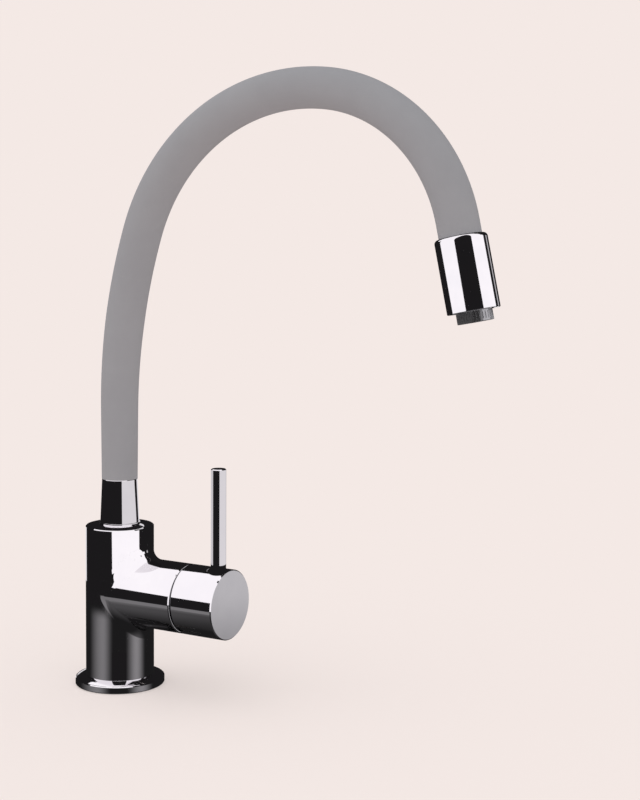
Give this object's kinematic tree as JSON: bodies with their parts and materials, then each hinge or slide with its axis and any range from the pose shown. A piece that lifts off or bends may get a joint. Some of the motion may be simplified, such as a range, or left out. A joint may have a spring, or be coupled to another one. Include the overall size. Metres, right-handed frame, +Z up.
{
  "type": "kitchen mixer tap",
  "caption": "Single-lever kitchen mixer with a bendable silicone-covered bow spout, a short spray head and a side lever, for one hole in a worktop.",
  "frame": {"origin": "centre of the base, in the plane of the worktop's upper face, on the axis of the foot spigot", "axes": "+Z up along the barrel, +X the way the lever cap and the bow of the spout point at rest"},
  "size_m": [0.2806, 0.055, 0.4205],
  "materials": {
    "chrome": "polished",
    "head_chrome": "polished",
    "silicone_grey": "matte",
    "steel_spiral": "satin",
    "water_tube": "satin",
    "brass": "satin",
    "zinc_steel": "satin",
    "black_rubber": "matte",
    "ceramic": "satin",
    "white_plastic": "satin",
    "stem_plastic": "satin",
    "stem_brass": "satin",
    "dark_plastic": "satin",
    "light_plastic": "satin",
    "strainer": "satin"
  },
  "bodies": {
    "root": {"base_gasket": "black_rubber", "base_flange": "chrome", "body_casting": "chrome", "fixing_stud": "zinc_steel", "horseshoe_gasket": "black_rubber", "horseshoe_washer": "zinc_steel", "stud_nut": "zinc_steel", "cartridge_base_seals": "black_rubber", "cartridge_base": "white_plastic", "disc_port_seals": "black_rubber", "fixed_disc": "ceramic", "cartridge_housing": "white_plastic", "cartridge_nut": "brass", "trim_dome": "chrome", "retaining_screw": "zinc_steel", "lower_bush": "white_plastic", "upper_bush": "white_plastic"},
    "spout_foot": {"spout_foot_ring": "chrome", "spout_shank": "brass", "shank_o_rings": "black_rubber", "spout_collar": "chrome", "hose_sleeve_1": "silicone_grey", "hose_spine_1": "steel_spiral", "water_tube_1": "water_tube"},
    "hose_2": {"hose_sleeve_2": "silicone_grey", "hose_spine_2": "steel_spiral", "water_tube_2": "water_tube"},
    "hose_3": {"hose_sleeve_3": "silicone_grey", "hose_spine_3": "steel_spiral", "water_tube_3": "water_tube"},
    "hose_4": {"hose_sleeve_4": "silicone_grey", "hose_spine_4": "steel_spiral", "water_tube_4": "water_tube"},
    "hose_5": {"hose_sleeve_5": "silicone_grey", "hose_spine_5": "steel_spiral", "water_tube_5": "water_tube"},
    "spray_head": {"hose_sleeve_6": "silicone_grey", "hose_spine_6": "steel_spiral", "water_tube_6": "water_tube", "head_connector": "brass", "head_seal": "black_rubber", "head_core": "stem_plastic", "head_shell": "head_chrome"},
    "nozzle": {"nozzle_ring": "dark_plastic", "aerator_insert": "light_plastic", "aerator_strainer": "strainer"},
    "stem_carrier_body": {"stem_carrier": "stem_plastic", "stem_pin": "zinc_steel"},
    "lever": {"cartridge_stem": "stem_brass", "lever_cap": "chrome", "lever_rod": "chrome", "lever_grub_screw": "zinc_steel"},
    "disc_slider": {"moving_disc": "ceramic", "disc_driver": "stem_plastic"}
  },
  "joints": [
    {"name": "spout_swivel", "type": "hinge", "parent": "root", "child": "spout_foot", "pos_m": [0, 0, 0.0991], "axis": [0, 0, 1], "continuous": true},
    {"name": "lower_bend", "type": "hinge", "parent": "spout_foot", "child": "hose_2", "pos_m": [0.00449, 0, 0.22646], "axis": [0, 1, 0], "range_deg": [-12, 12]},
    {"name": "lower_bend_2", "type": "hinge", "parent": "hose_2", "child": "hose_3", "pos_m": [0.01783, 0, 0.28047], "axis": [0, 1, 0], "range_deg": [-12, 12]},
    {"name": "upper_bend", "type": "hinge", "parent": "hose_3", "child": "hose_4", "pos_m": [0.06801, 0, 0.34441], "axis": [0, 1, 0], "range_deg": [-12, 12]},
    {"name": "upper_bend_2", "type": "hinge", "parent": "hose_4", "child": "hose_5", "pos_m": [0.14732, 0, 0.36217], "axis": [0, 1, 0], "range_deg": [-12, 12]},
    {"name": "upper_bend_3", "type": "hinge", "parent": "hose_5", "child": "spray_head", "pos_m": [0.19993, 0, 0.33792], "axis": [0, 1, 0], "range_deg": [-12, 12]},
    {"name": "nozzle_turn", "type": "hinge", "parent": "spray_head", "child": "nozzle", "pos_m": [0.23033, 0, 0.27981], "axis": [0.2079, 0, -0.9781], "range_deg": [0, 90]},
    {"name": "lever_turn", "type": "hinge", "parent": "root", "child": "stem_carrier_body", "pos_m": [0.04, 0, 0.059], "axis": [1, 0, 0], "range_deg": [-50, 50]},
    {"name": "lever_tilt", "type": "hinge", "parent": "stem_carrier_body", "child": "lever", "pos_m": [0.04, 0, 0.059], "axis": [0, 1, 0], "range_deg": [0, 16]},
    {"name": "disc_slide", "type": "slide", "parent": "stem_carrier_body", "child": "disc_slider", "axis": [0, 0, 1], "range_m": [0, 0.0034]}
  ],
  "couplings": [
    {"joint": "lower_bend_2", "follows": "lower_bend", "ratio": 1},
    {"joint": "upper_bend_2", "follows": "upper_bend", "ratio": 1},
    {"joint": "upper_bend_3", "follows": "upper_bend", "ratio": 1},
    {"joint": "disc_slide", "follows": "lever_tilt", "m_per_rad": 0.0118}
  ]
}
